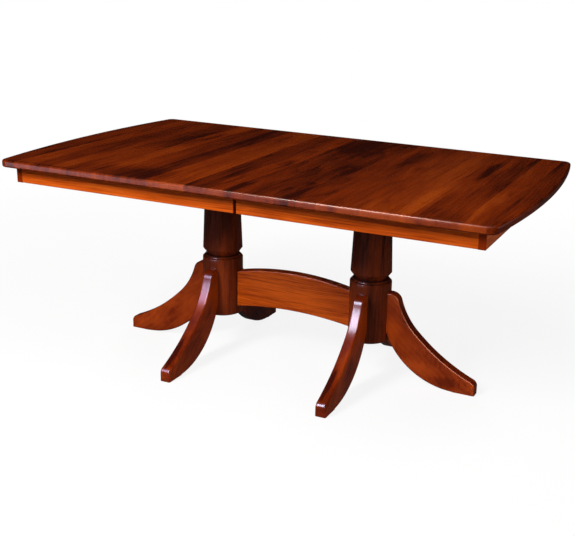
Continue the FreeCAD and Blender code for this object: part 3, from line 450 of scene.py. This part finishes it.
def wood_patch():
    """Inside is 1 in an ellipsoid with a ragged, soft edge, and 0 outside it."""
    tree, given, out = group("wood_patch", {
        "Place": (VECTOR, None), "Middle": (VECTOR, (0.0, 0.0, 0.0)), "Half size": (VECTOR, (1.0, 1.0, 1.0)),
    }, {"Inside": VALUE})
    away = vectors(tree, "SUBTRACT", given["Place"], given["Middle"])
    share = vectors(tree, "DIVIDE", away, given["Half size"])
    distance = vectors(tree, "LENGTH", share, output="Value")
    ragged = maths(tree, "MULTIPLY_ADD", noise(tree, given["Place"], *RAGS), PATCH_RAGGED, -PATCH_RAGGED / 2)
    tree.links.new(spread(tree, maths(tree, "ADD", distance, ragged), *PATCH_LIMITS, 1.0, 0.0), out["Inside"])
    return tree


GRAIN, BOARDS, FACING, PATCH = board_grain(), glued_boards(), facing_way(), wood_patch()


# Woods

# Turns that lay the grain along x, and the grain's own way, for each axis that it can run along
ALONG = {"x": (0, 0, 0), "y": (0, 0, -math.pi / 2), "z": (0, math.pi / 2, 0)}
WAY = {"x": (1.0, 0.0, 0.0), "y": (0.0, 1.0, 0.0), "z": (0.0, 0.0, 1.0)}

# Shares of the ramp that fibres and glue lines take, and how much pores darken the colour
FIBRE_SHARE, JOINT_DARK, PORE_DARK = 0.25, 0.35, 0.25
# How much fibres vary the varnish's roughness, how deep pores are beside fibres, and the strength and depth of both
FIBRE_ROUGH, PORE_DEPTH = 0.12, 0.5
WOOD_BUMP, WOOD_DEPTH = 0.12, 0.0002


def wood(name, turn, facing, dark, middle, light, rough=0.26, gloss=0.3, board_width=0.0, tone_share=0.5,
         streak_share=0.45, ring_share=0.2, cloud_share=0.3, heart_share=0.25, ring_width=0.007, waviness=0.5,
         start=(0.0, 0.0, 0.0), shorter=1.0, patches=(), facing_dark=0.5, facing_rough=0.15):
    """Stained and varnished wood. The turn lays its grain along x, start shifts it, and shorter squeezes its
    pattern along the grain. The ramp from dark over middle to light is read at the sum of the boards' tones,
    streaks, rings, clouds and heartwood. Patches are (middle, half size, share of the ramp) of single darker or
    lighter places. Faces that look along facing are darker by facing_dark of the ramp and rougher by facing_rough,
    or lighter and smoother where that is below 0. Pores and fibres stand in the varnish as a fine bump."""
    material, tree, shader = new_material(name, Specular_IOR_Level=gloss, IOR=1.5)
    coordinates = node(tree, "ShaderNodeTexCoord").outputs
    place = node(tree, "ShaderNodeMapping", {"Vector": coordinates["Object"], "Location": start,
                                             "Rotation": turn}).outputs[0]
    place = vectors(tree, "MULTIPLY", place, (shorter, 1.0, 1.0))
    tone, joint = 0.5, 0.0
    if board_width:
        across = node(tree, "ShaderNodeSeparateXYZ", {0: place}).outputs[1]
        boards = use(tree, BOARDS, Across=across, Board_width=board_width)
        place = vectors(tree, "ADD", place, boards["Shift"])
        tone, joint = boards["Tone"], boards["Joint"]
    grain = use(tree, GRAIN, Place=place, Ring_width=ring_width, Waviness=waviness)
    faced = use(tree, FACING, Normal=coordinates["Normal"], Way=facing)["Along"]
    parts = [
        (maths(tree, "SUBTRACT", tone, 0.5), tone_share),
        (spread(tree, grain["Streaks"], NOISE_LOW, NOISE_HIGH, -1.0, 1.0), streak_share / 2),
        (spread(tree, grain["Clouds"], NOISE_LOW, NOISE_HIGH, -1.0, 1.0), cloud_share / 2),
        (grain["Rings"], -ring_share),
        (maths(tree, "SUBTRACT", grain["Fibres"], 0.5), FIBRE_SHARE),
        (grain["Heart"], -heart_share),
    ]
    for centre, half_size, share in patches:
        patch = use(tree, PATCH, Place=coordinates["Object"], Middle=centre, Half_size=half_size)
        parts.append((patch["Inside"], share))
    parts += [(faced, -facing_dark), (joint, -JOINT_DARK)]
    value = 0.5
    for part, share in parts:
        value = maths(tree, "MULTIPLY_ADD", part, share, value)
    ramp = node(tree, "ShaderNodeValToRGB", {"Fac": value})
    stops = ramp.color_ramp.elements
    stops[0].position, stops[0].color = 0.0, linear(*dark)
    stops[1].position, stops[1].color = 1.0, linear(*light)
    stops.new(0.5).color = linear(*middle)
    pored = maths(tree, "MULTIPLY_ADD", grain["Pores"], -PORE_DARK, 1.0)
    tree.links.new(scaled(tree, ramp.outputs[0], pored), shader["Base Color"])
    duller = maths(tree, "MULTIPLY_ADD", grain["Fibres"], FIBRE_ROUGH, rough - FIBRE_ROUGH / 2)
    tree.links.new(maths(tree, "MULTIPLY_ADD", faced, facing_rough, duller), shader["Roughness"])
    height = maths(tree, "MULTIPLY_ADD", grain["Pores"], -PORE_DEPTH, grain["Fibres"])
    bumped(tree, shader, maths(tree, "MULTIPLY_ADD", joint, -1.0, height), WOOD_BUMP, WOOD_DEPTH)
    return material


# Single dark and light places in the boards of the top, and in the last row a darker strip along the left half's
# front edge: middle and half size along and across the table, share of the ramp. They go through the whole
# thickness.
TOP_HEIGHT, TOP_THROUGH = 0.76, 1.0
TOP_PATCHES = [((x, y, TOP_HEIGHT), (half_x, half_y, TOP_THROUGH), share) for x, y, half_x, half_y, share in (
    (0.028, -0.47, 0.020, 0.10, -0.6),
    (0.225, -0.45, 0.022, 0.12, -0.45),
    (0.600, -0.28, 0.034, 0.32, 0.3),
    (0.655, 0.22, 0.022, 0.18, -0.5),
    (0.365, 0.26, 0.026, 0.16, -0.4),
    (-0.560, 0.22, 0.090, 0.26, -0.35),
    (-0.720, -0.10, 0.070, 0.34, -0.2),
    (0.100, 0.36, 0.110, 0.26, -0.3),
    (-0.350, 0.34, 0.130, 0.25, -0.25),
    (-0.400, -0.46, 0.200, 0.10, -0.3),
    (0.760, -0.30, 0.060, 0.20, 0.25),
    (0.470, -0.42, 0.030, 0.14, 0.2),
    (-0.680, -0.545, 0.240, 0.035, -0.35),
)]
# Places in the columns: middle, half size, share of the ramp. All are painted light and shade: a lighter band on
# the left drum's front and one on its shoulder are painted light, the darker right drum is painted shade, and the
# darker tops of both necks are the painted shadow of the table's top.
COLUMN_PAINTED_LIGHT = [
    ((-0.267, -0.066, 0.26), (0.024, 0.030, 0.13), 0.45),
    ((-0.262, -0.060, 0.42), (0.030, 0.030, 0.05), 0.25),
    ((0.343, -0.066, 0.25), (0.030, 0.030, 0.14), -0.15),
    ((-0.305, 0.0, 0.62), (0.12, 0.12, 0.13), -0.3),
    ((0.305, 0.0, 0.62), (0.12, 0.12, 0.16), -0.35),
]
# The same in each leg: middle, half size, share of the ramp. rear_left's row is painted shade over the rear leg
# below the stretcher; the other rows darken places near the toes and along the outer right leg.
LEG_PATCHES_AND_SHADE = {
    "outer_left": [((-0.66, 0.0, 0.06), (0.05, 0.06, 0.02), -0.2)],
    "front_left": [((-0.316, -0.34, 0.08), (0.014, 0.06, 0.06), -0.8)],
    "rear_left": [((-0.305, 0.25, 0.12), (0.08, 0.2, 0.2), -0.5)],
    "outer_right": [((0.50, -0.02, 0.11), (0.12, 0.06, 0.03), -0.3),
                    ((0.62, -0.02, 0.03), (0.06, 0.06, 0.02), -0.3)],
    "front_right": [((0.293, -0.33, 0.09), (0.014, 0.07, 0.07), -0.8)],
    "rear_right": [],
}

APRON = dict(dark=(132, 42, 4), middle=(210, 88, 18), light=(234, 120, 38), rough=0.35, gloss=0.12,
             facing_dark=0.9)
WOODS = {name: wood(name, **kind) for name, kind in {
    # The top's front and back edges, end grain here, look along facing and come out lighter: a painted highlight
    # along them.
    "top_wood": dict(turn=ALONG["y"], facing=WAY["y"], dark=(50, 10, 2), middle=(112, 36, 3), light=(154, 62, 8),
                     board_width=0.075, streak_share=0.24, heart_share=0.3, rough=0.28, patches=TOP_PATCHES,
                     facing_dark=-0.3, facing_rough=-0.08),
    "apron_long": dict(turn=ALONG["x"], facing=WAY["x"], **APRON),
    "apron_cross": dict(turn=ALONG["y"], facing=WAY["y"], **APRON),
    "column_wood": dict(turn=ALONG["z"], facing=WAY["z"], dark=(44, 19, 12), middle=(116, 45, 19),
                        light=(160, 64, 22), streak_share=0.3, ring_share=0.1, gloss=0.25, patches=COLUMN_PAINTED_LIGHT),
    # The stretcher's front and back look along facing and come out lighter, its top and underside darker: painted
    # shade of the table above.
    "stretcher_wood": dict(turn=ALONG["x"], facing=WAY["y"], dark=(84, 22, 3), middle=(150, 52, 7),
                           light=(222, 96, 18), facing_dark=-0.4, facing_rough=0.0),
    "slide_wood": dict(turn=ALONG["x"], facing=WAY["x"], dark=(150, 118, 82), middle=(196, 164, 122),
                       light=(218, 190, 150), streak_share=0.35, ring_share=0.15, rough=0.5, facing_dark=0.3),
}.items()}
# facing_dark below 0 makes each leg's flat sides lighter and its sawn edges, the upper faces among them, darker:
# painted shade for the shade that the table above casts on them.
LEG = dict(dark=(66, 14, 3), middle=(122, 38, 6), light=(176, 68, 15), streak_share=0.1, ring_share=0.1,
           cloud_share=0.45, shorter=3.0, ring_width=0.02, waviness=1.2, rough=0.23, gloss=0.5, facing_dark=-0.35,
           facing_rough=0.0)
LEG_SLOPE = math.radians(42)


def leg_turn(turn):
    """The rotation that lays a leg's grain, which slopes down from its head to its toe, along x."""
    slope, swing = Matrix.Rotation(LEG_SLOPE, 3, "Y"), Matrix.Rotation(turn, 3, "Z")
    return (slope.inverted() @ swing.inverted()).to_euler("XYZ")


# Metal and nylon fittings

# Cells in a metre along each axis, detail and roughness of each noise
FILM = ((90.0, 90.0, 90.0), 3.0, 0.5)
SCRATCHES = ((300.0, 300.0, 2400.0), 2.0, 0.5)
MOTTLE = ((60.0, 60.0, 60.0), 3.0, 0.5)
PEBBLE = ((1500.0, 1500.0, 1500.0), 1.0, 0.5)
FITTING_DEPTH = 0.0001


def fitting(name, colour, rough, mottle, relief, shades, roughened, strength, **constants):
    """A metal or nylon fitting. A cloudy mottle takes its colour through the shades and its roughness through what
    roughened adds, and a fine relief stands in it as a bump."""
    material, tree, shader = new_material(name, **constants)
    place = node(tree, "ShaderNodeTexCoord").outputs["Object"]
    cloud = noise(tree, place, *mottle)
    shade = spread(tree, cloud, NOISE_LOW, NOISE_HIGH, *shades)
    tree.links.new(scaled(tree, linear(*colour)[:3], shade), shader["Base Color"])
    roughness = spread(tree, cloud, NOISE_LOW, NOISE_HIGH, *(rough + more for more in roughened))
    tree.links.new(roughness, shader["Roughness"])
    bumped(tree, shader, noise(tree, place, *relief), strength, FITTING_DEPTH)
    return material


METAL = dict(mottle=FILM, relief=SCRATCHES, shades=(0.8, 1.05), roughened=(-0.06, 0.1), strength=0.15,
             Metallic=1.0)
NYLON = dict(mottle=MOTTLE, relief=PEBBLE, shades=(0.88, 1.06), roughened=(-0.08, 0.08), strength=0.2,
             Specular_IOR_Level=0.3)
FITTINGS = {name: fitting(name, colour, rough, **kind) for name, colour, rough, kind in (
    ("gear_plastic", (226, 220, 204), 0.5, NYLON),
    ("screw_steel", (188, 186, 180), 0.32, METAL),
    ("lock_brass", (206, 170, 96), 0.3, METAL),
    ("glide_plastic", (46, 40, 36), 0.6, NYLON),
)}


# The finish of every node; legs, whose smooth pieces have a wood each, share the stretcher's

for part in frame["record"]["subparts"]:
    slot = part["material_slot"]
    if slot == "apron_wood":
        finish = WOODS["apron_cross" if "end" in part["node"] else "apron_long"]
    else:
        finish = WOODS.get(slot) or FITTINGS.get(slot) or WOODS["stretcher_wood"]
    frame["nodes"][part["node"]].data.materials.clear()
    frame["nodes"][part["node"]].data.materials.append(finish)


# Smooth wood pieces over the turned and sawn nodes

def dress(piece, nodes, material):
    """Put the piece in place of its nodes on the base, in the given material."""
    piece.data.materials.append(material)
    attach(piece, "base")
    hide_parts(*nodes)


for side_name, side in (("left", -1), ("right", 1)):
    across = side * COLUMN_PLACE
    dress(turned("turned_column_" + side_name, column_profile(), across),
          ["column_" + side_name], WOODS["column_wood"])
    for place, turn in (("outer", 0 if side > 0 else math.pi), ("front", -math.pi / 2), ("rear", math.pi / 2)):
        label = "%s_%s" % (place, side_name)
        material = wood("leg_wood_" + label, leg_turn(turn), WAY["y" if place == "outer" else "x"],
                        start=(across, 0, side * turn), patches=LEG_PATCHES_AND_SHADE[label], **LEG)
        dress(skin("sabre_leg_" + label, turned_about(leg_grid(), turn, across), True),
              ["leg_" + label], material)
dress(skin("arched_stretcher", stretcher_grid(), True), ["stretcher"], WOODS["stretcher_wood"])


# Floor and surroundings

WHITE = (1.0, 1.0, 1.0, 1.0)
FLOOR_REACH, FLOOR_BOUNCE, AIR_LIGHT = 14.0, 0.25, 0.07
# The share of the shadow that shows, and the distances where that starts to fade and where it is gone
SHADOW_SHARE, SHADOW_NEAR, SHADOW_FAR = 0.13, 1.1, 3.4
# The flags' ring, and their faint painted glow: grey low down in a cove on the floor sheet, near black above
FLAG_REACH, FLAG_LOW, FLAG_HIGH, FLAG_STEPS = 6.0, 0.0004, 11.0, 24
FLAG_LIGHT, COVE_LIGHT, COVE_HIGH = 0.004, 0.04, 0.3


def seen_white(tree):
    """1 where the camera, a mirror or glass looks, and 0 for the light on the table."""
    path = node(tree, "ShaderNodeLightPath").outputs
    seen = maths(tree, "MAXIMUM", path["Is Camera Ray"], path["Is Glossy Ray"])
    return maths(tree, "MAXIMUM", seen, path["Is Transmission Ray"])


def staged(name, corners, faces, material):
    """A piece of the set, which is no part of the table."""
    mesh = bpy.data.meshes.new(name)
    mesh.from_pydata(corners, [], faces)
    made = bpy.data.objects.new(name, mesh)
    bpy.context.scene.collection.objects.link(made)
    made.data.materials.append(material)
    return made


def floor():
    """A pale floor that keeps the table's shadow, is otherwise as white as the photograph's ground, and is open to
    a look from below."""
    material = bpy.data.materials.new("floor")
    tree = emptied(material)
    seen = seen_white(tree)
    place = node(tree, "ShaderNodeTexCoord").outputs["Object"]
    away = vectors(tree, "LENGTH", place, output="Value")
    fade = spread(tree, away, SHADOW_NEAR, SHADOW_FAR, 1 - SHADOW_SHARE, 1.0)
    tint = maths(tree, "MULTIPLY_ADD", seen, 1 - FLOOR_BOUNCE, FLOOR_BOUNCE)
    paint = node(tree, "ShaderNodeBsdfDiffuse", {"Color": tint}).outputs[0]
    white = node(tree, "ShaderNodeEmission", {"Color": WHITE, "Strength": 1.0}).outputs[0]
    both = mixed(tree, maths(tree, "MULTIPLY", seen, fade), paint, white)
    below = node(tree, "ShaderNodeNewGeometry").outputs["Backfacing"]
    clear = node(tree, "ShaderNodeBsdfTransparent").outputs[0]
    node(tree, "ShaderNodeOutputMaterial", {"Surface": mixed(tree, below, both, clear)})
    corners = [(FLOOR_REACH * x, FLOOR_REACH * y, 0) for x, y in ((-1, -1), (1, -1), (1, 1), (-1, 1))]
    staged("floor", corners, [(0, 1, 2, 3)], material)


def surroundings():
    """White to look at, and a dim even light on the table."""
    world = bpy.data.worlds.new("surroundings")
    tree = emptied(world)
    dim, white = (node(tree, "ShaderNodeBackground", {"Color": WHITE, "Strength": strength}).outputs[0]
                  for strength in (AIR_LIGHT, 1.0))
    node(tree, "ShaderNodeOutputWorld", {"Surface": mixed(tree, seen_white(tree), dim, white)})
    bpy.context.scene.world = world


def dark_flags():
    """Black cloth round the set and a grey one on its floor, which only the varnish mirrors: a studio that is dark
    beyond its lamps. No lamp lights them; their darkness and faint glow are painted light."""
    material = bpy.data.materials.new("dark_flag")
    tree = emptied(material)
    place = node(tree, "ShaderNodeTexCoord").outputs["Object"]
    height = node(tree, "ShaderNodeSeparateXYZ", {0: place}).outputs["Z"]
    # Painted light: the glow fades from grey at the floor to near black above the cove.
    glow = spread(tree, height, FLAG_LOW, COVE_HIGH, COVE_LIGHT, FLAG_LIGHT)
    painted_glow = node(tree, "ShaderNodeEmission", {"Color": WHITE, "Strength": glow}).outputs[0]
    node(tree, "ShaderNodeOutputMaterial", {"Surface": painted_glow})
    angle = np.arange(FLAG_STEPS) * 2 * math.pi / FLAG_STEPS
    ring = np.stack((FLAG_REACH * np.cos(angle), FLAG_REACH * np.sin(angle)), 1)
    corners = [(*spot, height) for height in (FLAG_LOW, FLAG_HIGH) for spot in ring.tolist()]
    around = [(n, (n + 1) % FLAG_STEPS) for n in range(FLAG_STEPS)]
    faces = [(n, after, FLAG_STEPS + after, FLAG_STEPS + n) for n, after in around]
    made = staged("dark_flags", corners, faces + [tuple(range(FLAG_STEPS))], material)
    made.visible_camera = made.visible_diffuse = made.visible_shadow = made.visible_transmission = False


# Light: place, aim, size in metres, watts, tint, and for a card the starts of the names that mirror it

BASE_PIECES = ("sabre_leg_front", "sabre_leg_rear", "sabre_leg_outer_right", "turned_column",
               "arched_stretcher")
OUTER_RIGHT_LEG, TOP_HALVES, END_APRONS = ("sabre_leg_outer_right",), ("top_",), ("apron_end",)
LAMPS = {
    "key_softbox": ((-1.2, -3.05, 2.9), (0.0, 0.0, 0.5), (0.9, 1.5), 160, (1.0, 0.97, 0.95), ()),
    "fill_softbox": ((4.0, -2.2, 1.6), (0.0, 0.0, 0.4), (1.6, 1.6), 44, (1.0, 0.97, 0.95), ()),
    "overhead_softbox": ((1.1, -0.8, 2.4), (0.5, -0.3, 0.76), (1.1, 0.8), 16, (1.0, 1.0, 1.0), ()),
    "rear_softbox": ((-0.8, 3.6, 1.3), (0.0, 0.0, 0.4), (1.8, 1.4), 50, (1.0, 1.0, 1.0), ()),
    "leg_card": ((-1.15, -3.0, 2.3), (0.2, -0.3, 0.5), (0.9, 2.0), 190, (0.66, 0.75, 1.0), BASE_PIECES),
    "violet_card": ((-2.5, -2.95, 2.3), (-0.3, -0.3, 0.4), (1.4, 2.0), 90, (0.66, 0.58, 1.0), BASE_PIECES),
    "leg_edge_card": ((2.2, -2.5, 2.0), (0.55, 0.0, 0.15), (2.6, 2.6), 190, (1.0, 0.62, 0.42), OUTER_RIGHT_LEG),
    "edge_card": ((-0.68, -2.02, 3.11), (0.35, -0.53, 0.76), (1.0, 1.4), 168, (1.0, 0.92, 0.84), TOP_HALVES),
    "low_card": ((-1.6, -3.3, 0.62), (-0.1, -0.53, 0.76), (3.2, 1.2), 44, (0.88, 0.78, 0.95), TOP_HALVES),
    "right_card": ((3.3, 1.9, 1.3), (0.9, 0.0, 0.76), (1.6, 1.6), 8, (1.0, 0.7, 0.7), TOP_HALVES),
    "end_card": ((1.7, 3.1, 0.35), (0.9, 0.0, 0.6), (1.6, 0.6), 6, (1.0, 0.85, 0.75), END_APRONS),
}


def lamp(name, place, aim, size, watts, tint, mirrored_in):
    """A soft lamp at a place, turned to its aim. Alone it lights the wood and shows in no varnish. With names it is
    a card that lights nothing and only shows as a reflection in the pieces whose names start so."""
    light = bpy.data.lights.new(name, "AREA")
    light.shape = "RECTANGLE"
    light.size, light.size_y = size
    light.energy = watts
    light.color = tint
    made = bpy.data.objects.new(name, light)
    bpy.context.scene.collection.objects.link(made)
    made.location = place
    made.rotation_euler = (Vector(aim) - Vector(place)).to_track_quat("-Z", "Y").to_euler()
    made.visible_diffuse, made.visible_glossy = not mirrored_in, bool(mirrored_in)
    if mirrored_in:
        shown_in = bpy.data.collections.new(name)
        for piece in bpy.context.scene.objects:
            if piece.name.startswith(mirrored_in):
                shown_in.objects.link(piece)
        made.light_linking.receiver_collection = shown_in


# The photograph's camera: pixels, turns in degrees, place in metres

PHOTO_WIDTH, PHOTO_HEIGHT = 575, 536
FOCAL_PIXELS = 965.99
CENTRE_ACROSS, CENTRE_DOWN = 336.21, 285.64
YAW, PITCH, ROLL = 23.266, 18.805, 1.840
CAMERA_PLACE = (1.49113, -3.06794, 1.45385)
SENSOR_WIDTH = 36


def camera():
    """The photograph's camera, level at first, then turned by yaw, pitch and roll."""
    yaw, pitch, roll = (math.radians(turn) for turn in (YAW, PITCH, ROLL))
    ahead = Vector((-math.sin(yaw) * math.cos(pitch), math.cos(yaw) * math.cos(pitch), -math.sin(pitch)))
    level = Vector((math.cos(yaw), math.sin(yaw), 0))
    upright = level.cross(ahead)
    right = math.cos(roll) * level + math.sin(roll) * upright
    up = -math.sin(roll) * level + math.cos(roll) * upright
    lens = bpy.data.cameras.new("camera")
    lens.sensor_width = SENSOR_WIDTH
    lens.lens = FOCAL_PIXELS * SENSOR_WIDTH / PHOTO_WIDTH
    lens.shift_x = ((PHOTO_WIDTH - 1) / 2 - CENTRE_ACROSS) / PHOTO_WIDTH
    lens.shift_y = (CENTRE_DOWN - (PHOTO_HEIGHT - 1) / 2) / PHOTO_WIDTH
    made = bpy.data.objects.new("camera", lens)
    made.matrix_world = Matrix((right, up, -ahead)).transposed().to_4x4()
    made.location = CAMERA_PLACE
    bpy.context.scene.collection.objects.link(made)
    bpy.context.scene.camera = made


floor()
surroundings()
dark_flags()
for name, values in LAMPS.items():
    lamp(name, *values)
camera()

bpy.context.scene.view_settings.view_transform = "Standard"
